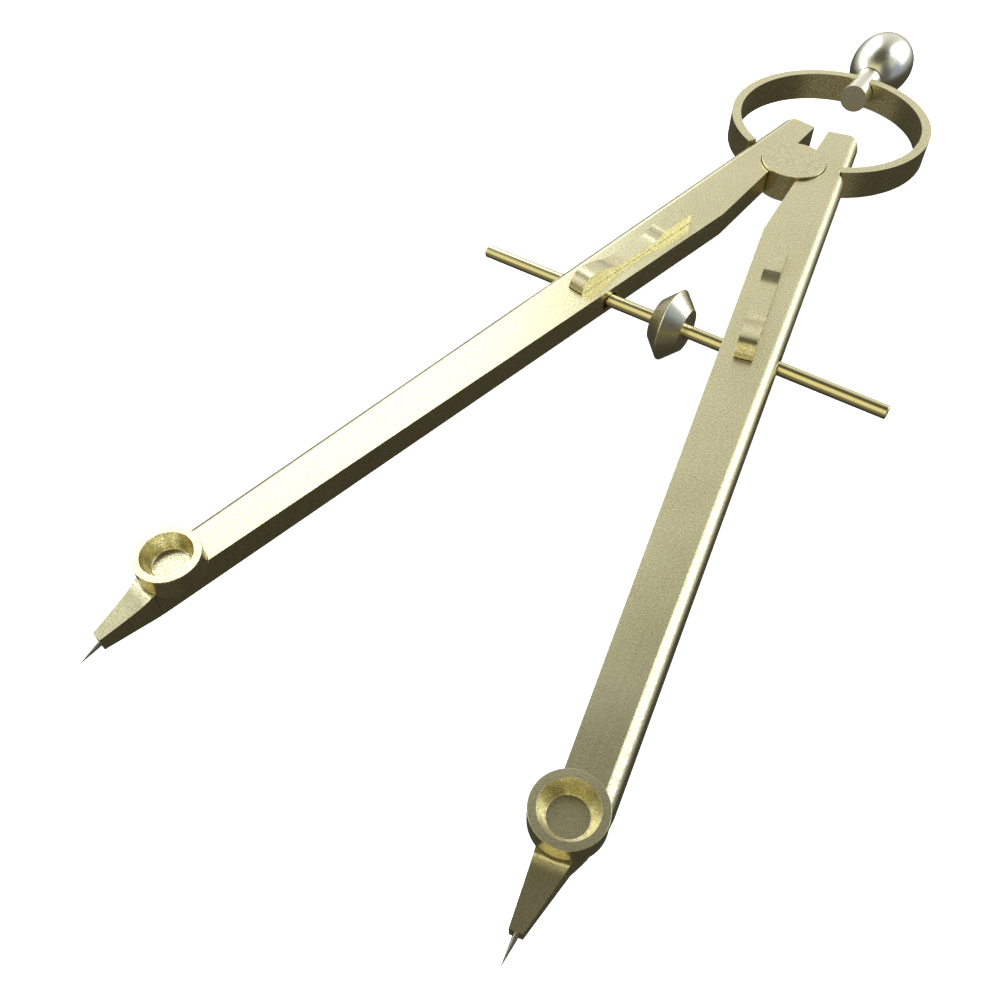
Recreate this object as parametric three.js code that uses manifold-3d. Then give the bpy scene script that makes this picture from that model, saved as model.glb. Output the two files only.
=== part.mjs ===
// Spring-bow divider caliper, lying on its back: +Y runs from the points to the handle, +Z out of the
// front faces, and the pivot axis is the Z axis. The origin is the centre of the fulcrum roller's back face.
import * as THREE from 'three';
import { mergeVertices } from 'three/addons/utils/BufferGeometryUtils.js';
import Module from 'manifold-3d';

const wasm = await Module();
wasm.setup();

// Driving dimensions, in millimetres. Leg places are given as u, along the leg from the pivot to the
// point, and v, outwards across the leg. Heights called z are measured from the legs' front faces.
const halfOpening = 0.214;
const legThickness = 3.54;
const pointReach = 123;
const fit = 0.25;

const rollerRadius = 4.86;
const rollerProud = 0.41;

const innerEdge = -0.74;
const hornTop = { u: -10.8, v: 3.55 };
const kinkU = 18.6;
const outerAtPivot = 8.49;
const outerTaper = 0.0335;
const hornCorner = 2.3;
const taperStartU = 107.8;
const roundingEndU = 112;

const bandCentreY = 14.95;
const bandRadius = 15.08;
const bandThickness = 1.45;
const bandTop = 0.2;
const bandBottom = -4.25;
const bandEndAngle = THREE.MathUtils.degToRad(28.2);
const notch = { floorRadius: 6.62, upper: -17, lower: 15, flareU: 3.4 };

const stemRadius = 2.28;
const stemZ = -1.81;
const headInnerY = 26.5;
const headSlotY = 28.95;
const seamY = 30.95;
const stemEndY = 33.5;
const waistHalfHeight = 1.45;
const headShankRadius = 0.7;
const spigotRadius = 1.2;
const knobWaistY = 40.7;
const knobRadius = 5.15;
const knobFront = 7.79;
const knobBack = 5.75;

const spindleZ = -1.9;
const spindleRadius = 0.91;
const spindleHalfLength = 29.65;
const spindleShift = 1;
const wheelRimRadius = 4.87;
const wheelEndRadius = 2.83;
const wheelHalfWidth = 2.2;

const nut = { u: 43.67, v: 2.46, radius: 2.1, top: -0.95, bottom: -3.4 };
const steepestSpindle = THREE.MathUtils.degToRad(18.3);
const shallowestSpindle = THREE.MathUtils.degToRad(5.5);

const lever = { v: 2.46, width: 2.38, tipU: 23.7, endU: 46.7, padZ: 1.43, dipZ: 0.7, humpZ: 2.07 };
const leverPin = { u: 34.4, z: -0.85, radius: 0.5, inner: 0.6, outer: 4.4 };
const leverSpring = { u: 26.3, coilRadius: 0.6, wireRadius: 0.14, turns: 4 };
const pocketFloor = -1.2;
const springSeat = -2.5;

const screw = { u: 110.5, v: 1.11 };
const shankRadius = 0.6;
const cupRadius = 3.66;
const cupTop = 2.47;
const cupRecessDepth = 0.35;
const bowlRadius = 2.81;
const bowlDepth = 1.35;
const shoulderRadius = 3.85;
const legEndRadius = 3.55;
const tenon = { start: 108, inner: 0.05, outer: 2.45, bottom: -2.25, top: -1.3 };
const footEnd = { u: 120.6, inner: -0.6, outer: 0.7, top: -1.1, bottom: -3 };
const footSlope = (3.2 - footEnd.outer) / (footEnd.u - 112.24);
const needleRadius = 0.3;
const needleSlope = 0.133;
const needleTip = { u: pointReach, v: -0.71, z: -1.82 };
const needleTailU = 115;

const metals = {
  satin: { color: 0xb9b58f, roughness: 0.38, metalness: 1 },
  polished: { color: 0xd8cfa0, roughness: 0.16, metalness: 1 },
  brass: { color: 0xd8c878, roughness: 0.22, metalness: 1 },
  steel: { color: 0xa8a79c, roughness: 0.3, metalness: 1 },
};

function solid(geometry) {
  const bare = geometry.clone();
  bare.deleteAttribute('normal');
  bare.deleteAttribute('uv');
  const merged = mergeVertices(bare, 1e-5);
  return new wasm.Manifold(new wasm.Mesh({
    numProp: 3,
    vertProperties: new Float32Array(merged.attributes.position.array),
    triVerts: new Uint32Array(merged.index.array),
  }));
}

function piece(name, body, metal) {
  const { vertProperties, triVerts } = body.getMesh();
  const geometry = new THREE.BufferGeometry();
  geometry.setAttribute('position', new THREE.BufferAttribute(vertProperties, 3));
  geometry.setIndex(new THREE.BufferAttribute(triVerts, 1));
  geometry.computeVertexNormals();
  const mesh = new THREE.Mesh(geometry, new THREE.MeshStandardMaterial(metals[metal]));
  mesh.name = name;
  return mesh;
}

// A flat plate of the given outline between two heights.
function plate(shape, bottom, top, curveSegments = 24) {
  const geometry = new THREE.ExtrudeGeometry(shape, { depth: top - bottom, bevelEnabled: false, curveSegments });
  geometry.translate(0, 0, bottom);
  return solid(geometry);
}

// An outline drawn in (y, z), swept along X from one place to another.
function profileAcross(shape, fromX, toX, curveSegments = 12) {
  const geometry = new THREE.ExtrudeGeometry(shape, { depth: toX - fromX, bevelEnabled: false, curveSegments });
  geometry.translate(0, 0, fromX);
  const turn = new THREE.Matrix4().makeBasis(
    new THREE.Vector3(0, 1, 0), new THREE.Vector3(0, 0, 1), new THREE.Vector3(1, 0, 0));
  geometry.applyMatrix4(turn);
  return solid(geometry);
}

function box(low, high) {
  const geometry = new THREE.BoxGeometry(high[0] - low[0], high[1] - low[1], high[2] - low[2]);
  geometry.translate((low[0] + high[0]) / 2, (low[1] + high[1]) / 2, (low[2] + high[2]) / 2);
  return solid(geometry);
}

// A round bar between two points.
function bar(radius, from, to, segments = 32) {
  const start = new THREE.Vector3(...from);
  const way = new THREE.Vector3(...to).sub(start);
  const geometry = new THREE.CylinderGeometry(radius, radius, way.length(), segments);
  geometry.translate(0, way.length() / 2, 0);
  geometry.applyQuaternion(new THREE.Quaternion().setFromUnitVectors(
    new THREE.Vector3(0, 1, 0), way.clone().normalize()));
  geometry.translate(...from);
  return solid(geometry);
}

// A body turned about the local Y axis from (radius, height) points.
function turned(points, segments = 40) {
  return solid(new THREE.LatheGeometry(points.map(([r, y]) => new THREE.Vector2(r, y)), segments));
}

function polygon(points) {
  return new THREE.Shape(points.map(([x, y]) => new THREE.Vector2(x, y)));
}

function cut(body, ...others) {
  return others.reduce((rest, other) => rest.subtract(other), body);
}

const outerEdge = (u) => outerAtPivot - outerTaper * u;
const footEdge = (u) => footEnd.outer + footSlope * (footEnd.u - u);

// One leg's places as x, y for the right (side 1) or left (side -1) leg.
const at = (side, u, v) => [side * v, -u];

// ---- head: handle knob, stem, clamp head, spring band and fulcrum roller ----

function knobBody() {
  const steps = 14;
  const start = -Math.acos((stemRadius + 0.1) / knobRadius);
  const points = [];
  for (let i = 0; i <= steps; i += 1) {
    const angle = start + (Math.PI / 2 - start) * i / steps;
    const length = angle < 0 ? knobFront : knobBack;
    points.push([knobRadius * Math.cos(angle), knobWaistY + length * Math.sin(angle)]);
  }
  points[steps][0] = 0;
  points.unshift([0, points[0][1]]);
  const socket = bar(spigotRadius + 0.15, [0, 30, 0], [0, knobWaistY + 1, 0]);
  return turned(points).subtract(socket);
}

function stemBody() {
  const barrel = bar(stemRadius, [0, seamY + 0.2, 0], [0, stemEndY, 0], 40);
  const spigot = bar(spigotRadius, [0, stemEndY - 0.5, 0], [0, knobWaistY, 0]);
  const bore = bar(headShankRadius + 0.15, [0, seamY, 0], [0, stemEndY - 0.6, 0]);
  return barrel.add(spigot).subtract(bore);
}

function clampHeadBody() {
  const head = bar(stemRadius, [0, headInnerY, 0], [0, seamY, 0], 40);
  const slot = box([-4, headSlotY, -waistHalfHeight - fit], [4, seamY + 1, waistHalfHeight + fit]);
  const shank = bar(headShankRadius, [0, headSlotY - 1, 0], [0, stemEndY - 0.8, 0]);
  return head.subtract(slot).add(shank);
}

function bandBody() {
  const outline = new THREE.Shape();
  const from = -Math.PI / 2 + bandEndAngle;
  const to = Math.PI * 1.5 - bandEndAngle;
  outline.absarc(0, bandCentreY, bandRadius + bandThickness / 2, from, to, false);
  outline.absarc(0, bandCentreY, bandRadius - bandThickness / 2, to, from, true);
  const hoop = plate(outline, bandBottom, bandTop, 40);
  const aroundStem = bar(stemRadius + fit, [0, headInnerY, stemZ], [0, 36, stemZ], 40);
  const waist = box([-5, headInnerY, stemZ - waistHalfHeight], [5, 36, stemZ + waistHalfHeight]);
  const hole = bar(headShankRadius + fit, [0, headInnerY, stemZ], [0, 36, stemZ]);
  return cut(hoop, aroundStem.subtract(waist), hole);
}

function rollerBody() {
  const chamfer = 0.12;
  const low = -legThickness - rollerProud;
  const geometry = new THREE.LatheGeometry([
    [0, low], [rollerRadius - chamfer, low], [rollerRadius, low + chamfer],
    [rollerRadius, rollerProud - chamfer], [rollerRadius - chamfer, rollerProud], [0, rollerProud],
  ].map(([r, y]) => new THREE.Vector2(r, y)), 64);
  geometry.rotateX(Math.PI / 2);
  return solid(geometry);
}

function headGroup() {
  const group = new THREE.Group();
  const handle = new THREE.Group();
  handle.position.z = stemZ;
  handle.add(
    piece('knob', knobBody(), 'polished'),
    piece('stem', stemBody(), 'polished'),
    piece('clamp_head', clampHeadBody(), 'satin'));
  group.add(handle, piece('spring_band', bandBody(), 'satin'), piece('fulcrum_roller', rollerBody(), 'satin'));
  return group;
}

// ---- legs ----

// The leg seen from the front: horn, straight outer taper, rounded end about the clamp screw, and an
// inner edge that leans in from the horn to the kink and runs straight from there.
function legOutline(side) {
  const cornerU = hornTop.u + hornCorner;
  const edge = (u) => outerEdge(u) + 0.02;
  const outline = new THREE.Shape();
  outline.moveTo(...at(side, hornTop.u, hornTop.v));
  outline.lineTo(...at(side, hornTop.u, edge(hornTop.u) - hornCorner));
  outline.quadraticCurveTo(...at(side, hornTop.u, edge(hornTop.u)), ...at(side, cornerU, edge(cornerU)));
  outline.lineTo(...at(side, taperStartU, edge(taperStartU)));
  const endAngle = Math.asin((innerEdge - screw.v) / legEndRadius);
  let startAngle = Math.PI / 2;
  while (screw.v + legEndRadius * Math.sin(startAngle) > footEdge(screw.u + legEndRadius * Math.cos(startAngle))) {
    startAngle -= 0.01;
  }
  outline.quadraticCurveTo(...at(side, screw.u + 0.1, 4.6),
    ...at(side, screw.u + legEndRadius * Math.cos(startAngle), screw.v + legEndRadius * Math.sin(startAngle)));
  const steps = 10;
  for (let i = 1; i <= steps; i += 1) {
    const angle = startAngle + (endAngle - startAngle) * i / steps;
    const u = screw.u + legEndRadius * Math.cos(angle);
    outline.lineTo(...at(side, u, screw.v + legEndRadius * Math.sin(angle)));
  }
  outline.lineTo(...at(side, kinkU, innerEdge));
  outline.closePath();
  return outline;
}

// Leaves the outer edge half round: a bar along the edge, and everything inside its axis.
function outerRounding(side) {
  const radius = legThickness / 2 + 0.02;
  const far = 130;
  const axis = (u) => outerEdge(u) - radius;
  const inside = polygon([
    at(side, -30, -20), at(side, far, -20), at(side, far, 20), at(side, roundingEndU, 20),
    at(side, roundingEndU, axis(roundingEndU)), at(side, -30, axis(-30)),
  ]);
  const middle = -legThickness / 2;
  const edge = bar(radius, [...at(side, -30, axis(-30)), middle], [...at(side, far, axis(far)), middle]);
  return plate(inside, -9, 9).add(edge);
}

// The way through the leg for the spindle, flared so that the leg can swing while the spindle stays square.
function spindleWay(side) {
  const half = spindleRadius + 0.35;
  const row = (v, first, second) => {
    const offsets = [first, second].map((angle) => nut.u + (v - nut.v) * Math.tan(angle));
    return [Math.min(...offsets) - half, Math.max(...offsets) + half];
  };
  const inner = row(-3, steepestSpindle, shallowestSpindle);
  const middle = row(nut.v, 0, 0);
  const outer = row(11, steepestSpindle, shallowestSpindle);
  const fan = polygon([
    at(side, inner[0], -3), at(side, middle[0], nut.v), at(side, outer[0], 11),
    at(side, outer[1], 11), at(side, middle[1], nut.v), at(side, inner[1], -3),
  ]);
  return plate(fan, spindleZ - spindleRadius - fit, spindleZ + spindleRadius + fit);
}

// The open pocket in the face in which the lever rocks, with its spring hole and pin hole.
function leverPocket(side) {
  const half = lever.width / 2 + fit;
  const across = [side * (lever.v - half), side * (lever.v + half)].sort((a, b) => a - b);
  const trough = box([across[0], -lever.endU - 0.4, pocketFloor], [across[1], -lever.tipU + 0.4, 5]);
  const deep = box([across[0], -leverPin.u - 1.5, -2.15], [across[1], -leverPin.u + 1.5, 0]);
  const seat = bar(leverSpring.coilRadius + 0.45,
    [...at(side, leverSpring.u, lever.v), springSeat], [...at(side, leverSpring.u, lever.v), 0], 24);
  const pinHole = bar(leverPin.radius + 0.1,
    [...at(side, leverPin.u, leverPin.inner - 0.2), leverPin.z],
    [...at(side, leverPin.u, leverPin.outer + 0.2), leverPin.z], 24);
  return trough.add(deep).add(seat).add(pinHole);
}

// The notch that receives the band's end: its floor is an arc about the pivot and its sides flare outwards,
// so that the band's end stays clear however far the leg swings.
function bandNotch(side) {
  const points = [at(side, -notch.flareU, outerAtPivot + 1)];
  const steps = 8;
  for (let i = 0; i <= steps; i += 1) {
    const angle = THREE.MathUtils.degToRad(notch.upper + (notch.lower - notch.upper) * i / steps);
    points.push(at(side, notch.floorRadius * Math.sin(angle), notch.floorRadius * Math.cos(angle)));
  }
  points.push(at(side, notch.flareU, outerAtPivot + 0.1), at(side, notch.flareU + 1, outerAtPivot + 3));
  points.push(at(side, -notch.flareU - 1, outerAtPivot + 3));
  return plate(polygon(points), -9, 9);
}

function legBody(side) {
  const full = plate(legOutline(side), -legThickness, 0).intersect(outerRounding(side));
  const socket = bar(rollerRadius + fit, [0, 0, -9], [0, 0, 9], 64);
  const nutHole = bar(nut.radius + fit, [...at(side, nut.u, nut.v), -9], [...at(side, nut.u, nut.v), nut.top + fit], 40);
  const cupRecess = bar(shoulderRadius,
    [...at(side, screw.u, screw.v), -cupRecessDepth], [...at(side, screw.u, screw.v), 9], 64);
  const screwHole = bar(shankRadius + fit, [...at(side, screw.u, screw.v), -9], [...at(side, screw.u, screw.v), 9]);
  const mortise = tenonBlock(side, fit, 130);
  return cut(full, socket, bandNotch(side), nutHole, spindleWay(side), leverPocket(side), cupRecess, screwHole, mortise);
}

// The barrel nut that turns in the leg, with a cross bore that opens towards the lever's tooth.
function swivelNutBody() {
  const barrel = bar(nut.radius, [0, 0, nut.bottom], [0, 0, nut.top], 40);
  const bore = bar(spindleRadius + 0.24, [-9, 0, spindleZ], [9, 0, spindleZ]);
  return barrel.subtract(bore);
}

// ---- quick-release lever ----

function leverProfile() {
  const y = (u) => -u;
  const under = -0.2;
  const profile = new THREE.Shape();
  profile.moveTo(y(lever.tipU), under);
  profile.lineTo(y(lever.tipU), lever.padZ);
  profile.lineTo(y(29.1), lever.padZ);
  profile.quadraticCurveTo(y(29.9), lever.padZ - 0.06, y(30.5), 1);
  profile.quadraticCurveTo(y(31.3), lever.dipZ, y(33), lever.dipZ);
  profile.lineTo(y(38), lever.dipZ + 0.04);
  profile.quadraticCurveTo(y(39.8), 0.85, y(41.6), 1.5);
  profile.quadraticCurveTo(y(43.4), lever.humpZ + 0.05, y(44.7), lever.humpZ);
  profile.quadraticCurveTo(y(46.2), 1.9, y(lever.endU), 0);
  profile.lineTo(y(lever.endU), under);
  profile.closePath();
  return profile;
}

function leverBody(side) {
  const half = lever.width / 2;
  const fromX = side * lever.v - half;
  const arm = profileAcross(leverProfile(), fromX, fromX + lever.width);
  const boss = bar(1.05, [fromX, -leverPin.u, leverPin.z], [fromX + lever.width, -leverPin.u, leverPin.z]);
  const bore = bar(leverPin.radius + 0.08,
    [fromX - 1, -leverPin.u, leverPin.z], [fromX + lever.width + 1, -leverPin.u, leverPin.z], 24);
  const toothTip = spindleZ + spindleRadius + 0.1;
  const tooth = profileAcross(polygon([
    [-nut.u - 0.9, 0], [-nut.u - 0.25, toothTip], [-nut.u + 0.25, toothTip], [-nut.u + 0.9, 0],
  ]), side * nut.v - 0.45, side * nut.v + 0.45);
  return arm.add(boss).add(tooth).subtract(bore);
}

function leverPinBody(side) {
  return bar(leverPin.radius,
    [...at(side, leverPin.u, leverPin.inner), leverPin.z],
    [...at(side, leverPin.u, leverPin.outer), leverPin.z], 24);
}

// A compression spring standing in the seat under the lever's pad.
function leverSpringBody() {
  const start = springSeat + leverSpring.wireRadius + 0.05;
  const end = -0.2 - leverSpring.wireRadius - 0.1;
  const points = [];
  const perTurn = 10;
  const count = leverSpring.turns * perTurn;
  for (let i = 0; i <= count; i += 1) {
    const angle = 2 * Math.PI * i / perTurn;
    points.push(new THREE.Vector3(
      leverSpring.coilRadius * Math.cos(angle),
      leverSpring.coilRadius * Math.sin(angle),
      start + (end - start) * i / count));
  }
  const section = new THREE.Shape();
  section.absarc(0, 0, leverSpring.wireRadius, 0, 2 * Math.PI, false);
  return solid(new THREE.ExtrudeGeometry(section, {
    extrudePath: new THREE.CatmullRomCurve3(points), steps: count, bevelEnabled: false, curveSegments: 3,
  }));
}

// ---- leg end: clamp screw, needle holder and needle ----

// The holder's tenon, or with some spare all round the mortise for it in the leg's end.
function tenonBlock(side, spare, endU) {
  const across = [side * (tenon.inner - spare), side * (tenon.outer + spare)].sort((a, b) => a - b);
  return box([across[0], -endU, tenon.bottom - spare], [across[1], -tenon.start + spare, tenon.top + spare]);
}

function clampScrewBody() {
  const points = [[0, -legThickness + 0.15], [shankRadius, -legThickness + 0.15], [shankRadius, -0.04]];
  points.push([cupRadius, -0.04], [cupRadius, cupTop - 0.1], [cupRadius - 0.1, cupTop], [bowlRadius + 0.08, cupTop]);
  const steps = 6;
  for (let i = 0; i <= steps; i += 1) {
    const angle = Math.PI / 2 * i / steps;
    points.push([bowlRadius * Math.cos(angle), cupTop - 0.04 - bowlDepth * Math.sin(angle)]);
  }
  points[points.length - 1][0] = 0;
  const geometry = new THREE.LatheGeometry(points.map(([r, y]) => new THREE.Vector2(r, y)), 40);
  geometry.rotateX(Math.PI / 2);
  return solid(geometry);
}

function footBody(side) {
  const shoulderU = screw.u + 2.6;
  const wedge = plate(polygon([
    at(side, shoulderU, innerEdge), at(side, shoulderU, footEdge(shoulderU)),
    at(side, footEnd.u, footEnd.outer), at(side, footEnd.u, footEnd.inner),
  ]), -legThickness, 0);
  const faces = new THREE.Shape();
  faces.moveTo(-shoulderU, 0);
  faces.lineTo(-screw.u - shoulderRadius + 0.15, 0);
  faces.bezierCurveTo(-screw.u - shoulderRadius - 0.6, -0.6,
    -screw.u - shoulderRadius - 2, -0.85, -footEnd.u, footEnd.top);
  faces.lineTo(-footEnd.u, footEnd.bottom);
  faces.lineTo(-screw.u - shoulderRadius, -legThickness);
  faces.lineTo(-shoulderU, -legThickness);
  faces.closePath();
  const centre = at(side, screw.u, screw.v);
  const clearOfLeg = bar(shoulderRadius, [...centre, -9], [...centre, 9], 64);
  const body = wedge.intersect(profileAcross(faces, -20, 20)).subtract(clearOfLeg);
  const tongue = tenonBlock(side, 0, screw.u + shoulderRadius + 0.5);
  const screwHole = bar(shankRadius + fit, [...centre, -9], [...centre, 9]);
  const needleHole = bar(needleRadius + 0.12,
    needlePlace(side, needleTailU - 0.5), needlePlace(side, pointReach + 2), 24);
  return body.add(tongue).subtract(screwHole).subtract(needleHole);
}

const needlePlace = (side, u) => [
  ...at(side, u, needleTip.v + needleSlope * (needleTip.u - u)), needleTip.z];

function needleBody(side) {
  const tipLength = 2.3;
  const start = new THREE.Vector3(...needlePlace(side, needleTailU));
  const way = new THREE.Vector3(...needlePlace(side, pointReach)).sub(start);
  const length = way.length();
  const points = [[0, 0], [needleRadius, 0], [needleRadius, length - tipLength], [0.03, length - 0.03], [0, length]];
  const geometry = new THREE.LatheGeometry(points.map(([r, y]) => new THREE.Vector2(r, y)), 24);
  geometry.applyQuaternion(new THREE.Quaternion().setFromUnitVectors(
    new THREE.Vector3(0, 1, 0), way.clone().normalize()));
  geometry.translate(...start.toArray());
  return solid(geometry);
}

function legGroup(side) {
  const name = side > 0 ? 'right' : 'left';
  const group = new THREE.Group();
  group.rotation.z = side * halfOpening;
  const swivel = piece(`${name}_swivel_nut`, swivelNutBody(), 'brass');
  swivel.position.set(...at(side, nut.u, nut.v), 0);
  swivel.rotation.z = -side * halfOpening;
  const spring = piece(`${name}_lever_spring`, leverSpringBody(), 'steel');
  spring.position.set(...at(side, leverSpring.u, lever.v), 0);
  const clampScrew = piece(`${name}_clamp_screw`, clampScrewBody(), 'brass');
  clampScrew.position.set(...at(side, screw.u, screw.v), 0);
  group.add(
    piece(`${name}_leg`, legBody(side), 'satin'),
    swivel,
    piece(`${name}_lever`, leverBody(side), 'satin'),
    piece(`${name}_lever_pin`, leverPinBody(side), 'steel'),
    spring,
    clampScrew,
    piece(`${name}_needle_holder`, footBody(side), 'satin'),
    piece(`${name}_needle`, needleBody(side), 'steel'));
  return group;
}

// ---- spindle and centre wheel ----

function spindleBody() {
  const chamfer = 0.15;
  return turned([
    [0, -spindleHalfLength], [spindleRadius - chamfer, -spindleHalfLength],
    [spindleRadius, -spindleHalfLength + chamfer], [spindleRadius, spindleHalfLength - chamfer],
    [spindleRadius - chamfer, spindleHalfLength], [0, spindleHalfLength],
  ], 32);
}

function wheelBody() {
  const rim = 0.25;
  const bore = spindleRadius + 0.1;
  return turned([
    [bore, -wheelHalfWidth], [wheelEndRadius, -wheelHalfWidth], [wheelRimRadius - 0.1, -rim],
    [wheelRimRadius, 0], [wheelRimRadius - 0.1, rim], [wheelEndRadius, wheelHalfWidth],
    [bore, wheelHalfWidth], [bore, -wheelHalfWidth],
  ], 40);
}

function spindleGroup() {
  const nutY = -nut.u * Math.cos(halfOpening) + nut.v * Math.sin(halfOpening);
  const group = new THREE.Group();
  group.position.set(spindleShift, nutY, spindleZ);
  group.rotation.z = -Math.PI / 2;
  group.add(piece('spindle', spindleBody(), 'brass'), piece('centre_wheel', wheelBody(), 'polished'));
  return group;
}

const divider = new THREE.Group();
const frontFaces = new THREE.Group();
frontFaces.position.z = legThickness + rollerProud;
frontFaces.add(headGroup(), legGroup(-1), legGroup(1), spindleGroup());
divider.add(frontFaces);

export default divider;
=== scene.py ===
import math

import bmesh
import bpy
from mathutils import Matrix, Vector


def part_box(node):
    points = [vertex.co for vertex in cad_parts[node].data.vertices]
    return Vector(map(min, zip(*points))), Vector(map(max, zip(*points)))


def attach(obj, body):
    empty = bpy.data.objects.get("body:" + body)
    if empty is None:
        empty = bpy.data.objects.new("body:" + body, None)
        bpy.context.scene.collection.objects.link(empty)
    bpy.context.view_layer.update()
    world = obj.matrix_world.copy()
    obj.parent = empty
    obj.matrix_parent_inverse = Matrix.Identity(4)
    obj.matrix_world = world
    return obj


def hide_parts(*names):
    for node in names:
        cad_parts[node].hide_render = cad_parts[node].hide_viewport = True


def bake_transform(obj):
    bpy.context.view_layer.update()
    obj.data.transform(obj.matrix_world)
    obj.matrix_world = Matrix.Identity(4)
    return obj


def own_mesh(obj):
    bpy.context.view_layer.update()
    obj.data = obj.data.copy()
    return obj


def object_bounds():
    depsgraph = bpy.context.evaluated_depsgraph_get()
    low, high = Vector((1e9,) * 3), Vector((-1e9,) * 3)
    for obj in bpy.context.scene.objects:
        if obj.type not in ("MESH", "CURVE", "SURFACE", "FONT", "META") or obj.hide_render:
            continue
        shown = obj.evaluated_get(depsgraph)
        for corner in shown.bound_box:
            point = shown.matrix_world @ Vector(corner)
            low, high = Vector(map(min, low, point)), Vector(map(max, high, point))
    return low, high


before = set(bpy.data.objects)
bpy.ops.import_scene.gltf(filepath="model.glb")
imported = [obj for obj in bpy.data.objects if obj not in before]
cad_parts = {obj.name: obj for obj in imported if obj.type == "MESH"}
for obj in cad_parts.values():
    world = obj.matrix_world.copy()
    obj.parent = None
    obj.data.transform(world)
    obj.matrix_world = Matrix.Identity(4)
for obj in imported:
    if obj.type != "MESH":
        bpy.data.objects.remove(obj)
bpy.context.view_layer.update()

# Pieces are modelled in millimetres and brought to metres when they are finished.
mm = 0.001


def boxOf(node):
    low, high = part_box(node)
    return low / mm, high / mm


def middleOf(node):
    low, high = boxOf(node)
    return (low + high) / 2


rollerLow, rollerHigh = boxOf("fulcrum_roller")
rollerRadius = (rollerHigh.x - rollerLow.x) / 2
legLow, legHigh = boxOf("right_leg")
faceHeight = legHigh.z
legThickness = legHigh.z - legLow.z
spindleLow, spindleHigh = boxOf("spindle")
spindleMiddle = middleOf("spindle")
spindleRadius = (spindleHigh.z - spindleLow.z) / 2
spindleHeight = spindleMiddle.z - faceHeight

# Places on a leg: along is from the pivot towards the point, across is outwards,
# and heights are from its front face.
screw = {"along": 110.5, "across": 1.11}
screwMiddle = middleOf("right_clamp_screw")
halfOpening = math.atan2(screwMiddle.x, -screwMiddle.y) - math.atan2(screw["across"], screw["along"])


def at(side, along, across, height=0.0):
    return Vector((side * across, -along, height))


def objectFrom(name, bm):
    bmesh.ops.remove_doubles(bm, verts=bm.verts, dist=1e-5)
    bmesh.ops.recalc_face_normals(bm, faces=bm.faces)
    mesh = bpy.data.meshes.new(name)
    bm.to_mesh(mesh)
    bm.free()
    piece = bpy.data.objects.new(name, mesh)
    bpy.context.scene.collection.objects.link(piece)
    return piece


def rounded(corners, steps):
    # corners are (x, y, radius) along an open outline; each becomes an arc that is tangent to both of its sides
    points = []
    for i, (x, y, radius) in enumerate(corners):
        here = Vector((x, y))
        if radius <= 0 or i in (0, len(corners) - 1):
            points.append(here)
            continue
        before = (Vector(corners[i - 1][:2]) - here).normalized()
        after = (Vector(corners[i + 1][:2]) - here).normalized()
        half = before.angle(after) / 2
        reach = radius / math.tan(half)
        centre = here + (before + after).normalized() * radius / math.sin(half)
        start = here + before * reach - centre
        sweep = start.angle_signed(here + after * reach - centre)
        for k in range(steps + 1):
            points.append(centre + Matrix.Rotation(-sweep * k / steps, 2) @ start)
    return points


def extruded(name, outline, low, high):
    bm = bmesh.new()
    bottom = [bm.verts.new((p[0], p[1], low)) for p in outline]
    top = [bm.verts.new((p[0], p[1], high)) for p in outline]
    bm.faces.new(bottom)
    bm.faces.new(top)
    for i in range(len(outline)):
        j = (i + 1) % len(outline)
        bm.faces.new((bottom[i], bottom[j], top[j], top[i]))
    return objectFrom(name, bm)


def turned(name, profile, start=(0, 0, 0), way=(0, 0, 1), steps=96):
    # profile is (radius, height) from one end of the axis to the other
    bm = bmesh.new()
    rings = []
    for radius, height in profile:
        if radius < 1e-6:
            rings.append([bm.verts.new((0, 0, height))])
        else:
            turns = [2 * math.pi * k / steps for k in range(steps)]
            rings.append([bm.verts.new((radius * math.cos(a), radius * math.sin(a), height)) for a in turns])
    for lower, upper in zip(rings, rings[1:]):
        for k in range(steps):
            n = (k + 1) % steps
            if len(lower) == 1 and len(upper) == 1:
                continue
            if len(lower) == 1:
                bm.faces.new((lower[0], upper[n], upper[k]))
            elif len(upper) == 1:
                bm.faces.new((lower[k], lower[n], upper[0]))
            else:
                bm.faces.new((lower[k], lower[n], upper[n], upper[k]))
    turn = Vector(way).to_track_quat("Z", "Y").to_matrix().to_4x4()
    bmesh.ops.transform(bm, matrix=Matrix.Translation(start) @ turn, verts=bm.verts)
    return objectFrom(name, bm)


def rod(name, radius, start, end, steps=64):
    start, end = Vector(start), Vector(end)
    length = (end - start).length
    profile = [(0, 0), (radius, 0), (radius, length), (0, length)]
    return turned(name, profile, start, end - start, steps)


def slab(name, low, high):
    outline = [(low[0], low[1]), (high[0], low[1]), (high[0], high[1]), (low[0], high[1])]
    return extruded(name, outline, low[2], high[2])


def baked(piece):
    graph = bpy.context.evaluated_depsgraph_get()
    mesh = bpy.data.meshes.new_from_object(piece.evaluated_get(graph))
    piece.modifiers.clear()
    old = piece.data
    piece.data = mesh
    bpy.data.meshes.remove(old)
    return piece


def combine(piece, operation, *tools):
    for tool in tools:
        modifier = piece.modifiers.new("combine", "BOOLEAN")
        modifier.operation = operation
        modifier.solver = "EXACT"
        modifier.object = tool
        baked(piece)
        bpy.data.objects.remove(tool)
    return piece


def cut(piece, *tools):
    return combine(piece, "DIFFERENCE", *tools)


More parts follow.
